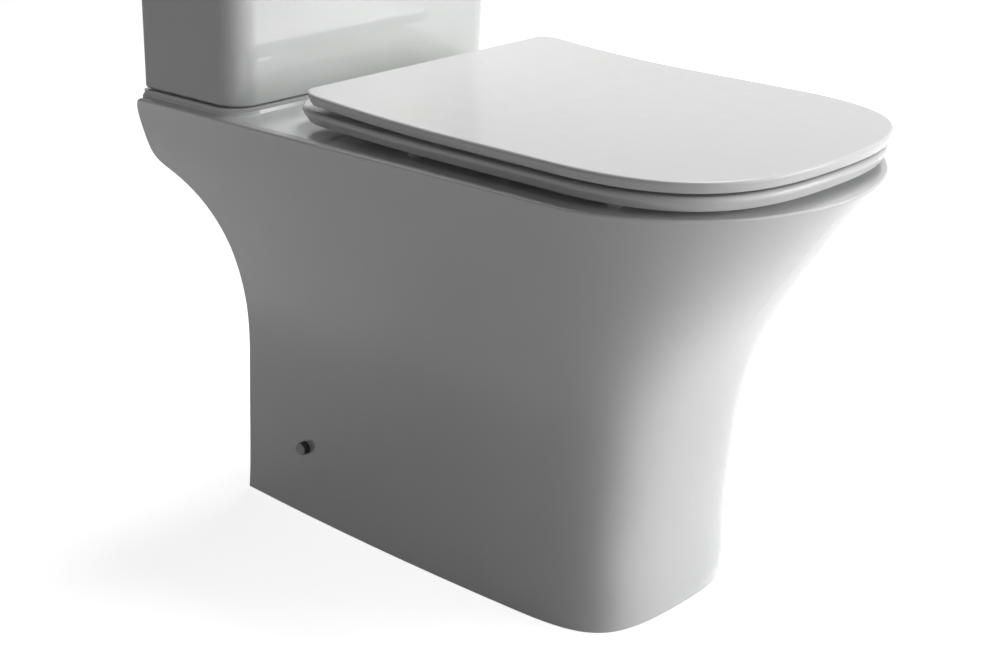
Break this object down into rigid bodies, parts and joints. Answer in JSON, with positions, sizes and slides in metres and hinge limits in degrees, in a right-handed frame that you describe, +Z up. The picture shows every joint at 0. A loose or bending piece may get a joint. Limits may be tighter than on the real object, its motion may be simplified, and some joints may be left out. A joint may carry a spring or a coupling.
{
  "type": "close coupled toilet",
  "caption": "Close coupled floor standing toilet: flared ceramic pan open at the back, slim hinged seat and lid, and a cistern with a dual flush button.",
  "frame": {"origin": "on the floor, at the middle of the whole part's length and width", "axes": "+Z up, front of the bowl towards -Y, the wall towards +Y, +X to the right of someone who faces the wall"},
  "size_m": [0.3602, 0.6558, 0.787],
  "materials": {
    "ceramic": "white vitreous glaze",
    "seat_plastic": "white thermoset, high gloss",
    "white_plastic": "white moulded plastic",
    "grey_plastic": "grey moulded plastic",
    "buffer_rubber": "soft translucent grey",
    "black_rubber": "black",
    "chrome": "polished plating",
    "steel": "stainless steel",
    "brass": "plain brass"
  },
  "bodies": {
    "pan_and_cistern": {"pan": "ceramic", "bowl_and_trap": "ceramic", "cistern": "ceramic", "hinge_post_left": "chrome", "hinge_post_right": "chrome", "hinge_damper_left": "steel", "hinge_damper_right": "steel", "hinge_base_plates": "steel", "seat_fixing_bolts": "steel", "seat_fixing_sleeves": "black_rubber", "screw_caps": "chrome", "side_screws": "steel", "side_screw_sleeves": "white_plastic", "floor_brackets": "grey_plastic", "cistern_bolts": "steel", "cistern_bolt_cones": "black_rubber", "cistern_bolt_washers": "white_plastic", "cistern_wing_nuts": "brass", "doughnut_washer": "black_rubber", "flush_valve_backnut": "white_plastic", "flush_valve_gasket": "black_rubber", "flush_valve_base": "white_plastic", "flush_valve_cage": "white_plastic", "rocker_pins": "steel", "fill_valve_washer": "black_rubber", "fill_valve_backnut": "brass", "fill_valve_body": "white_plastic", "fill_valve_cap": "grey_plastic", "fill_valve_arm_pin": "steel"},
    "seat_ring": {"seat": "seat_plastic", "seat_buffers": "buffer_rubber"},
    "lid": {"seat_lid": "seat_plastic", "lid_buffers": "buffer_rubber"},
    "cistern_top": {"cistern_lid": "ceramic", "button_housing": "chrome", "button_collar_nut": "white_plastic", "full_button_spring": "steel", "half_button_spring": "steel"},
    "full_button": {"full_flush_button": "chrome", "full_push_rod": "white_plastic"},
    "half_button": {"half_flush_button": "chrome", "half_push_rod": "white_plastic"},
    "rocker": {"flush_rocker": "grey_plastic"},
    "riser": {"overflow_riser": "grey_plastic", "flush_seal": "black_rubber"},
    "half_slider": {"half_flush_slider": "grey_plastic"},
    "float": {"fill_valve_float": "white_plastic"},
    "float_arm": {"fill_valve_arm": "grey_plastic"}
  },
  "joints": [
    {"name": "seat_hinge", "type": "hinge", "parent": "pan_and_cistern", "child": "seat_ring", "pos_m": [0, 0.1269, 0.4272], "axis": [1, 0, 0], "range_deg": [-92, 0]},
    {"name": "lid_hinge", "type": "hinge", "parent": "seat_ring", "child": "lid", "pos_m": [0, 0.1269, 0.4272], "axis": [-1, 0, 0], "range_deg": [0, 96]},
    {"name": "cistern_lid_lift", "type": "slide", "parent": "pan_and_cistern", "child": "cistern_top", "axis": [0, 0, 1], "range_m": [0, 0.12]},
    {"name": "full_flush_press", "type": "slide", "parent": "cistern_top", "child": "full_button", "axis": [0, 0, -1], "range_m": [0, 0.007], "stiffness_N_per_m": 600, "springref_m": -0.004, "deforming": ["full_button_spring"]},
    {"name": "half_flush_press", "type": "slide", "parent": "cistern_top", "child": "half_button", "axis": [0, 0, -1], "range_m": [0, 0.007], "stiffness_N_per_m": 600, "springref_m": -0.004, "deforming": ["half_button_spring"]},
    {"name": "rocker_tilt", "type": "hinge", "parent": "pan_and_cistern", "child": "rocker", "pos_m": [-0.003, 0.25715, 0.683], "axis": [0, 1, 0], "range_deg": [0, 25]},
    {"name": "riser_lift", "type": "slide", "parent": "pan_and_cistern", "child": "riser", "axis": [0, 0, 1], "range_m": [0, 0.0095]},
    {"name": "half_slider_travel", "type": "slide", "parent": "pan_and_cistern", "child": "half_slider", "axis": [0, 0, -1], "range_m": [0, 0.007]},
    {"name": "float_slide", "type": "slide", "parent": "pan_and_cistern", "child": "float", "axis": [0, 0, 1], "range_m": [0, 0.008]},
    {"name": "float_arm_tilt", "type": "hinge", "parent": "pan_and_cistern", "child": "float_arm", "pos_m": [0.106, 0.2809, 0.693], "axis": [0, 1, 0], "range_deg": [0, 28]}
  ],
  "couplings": [
    {"joint": "rocker_tilt", "follows": "full_flush_press", "rad_per_m": 60},
    {"joint": "riser_lift", "follows": "full_flush_press", "ratio": 1.33},
    {"joint": "half_slider_travel", "follows": "half_flush_press", "ratio": 1},
    {"joint": "float_arm_tilt", "follows": "float_slide", "rad_per_m": 58}
  ]
}
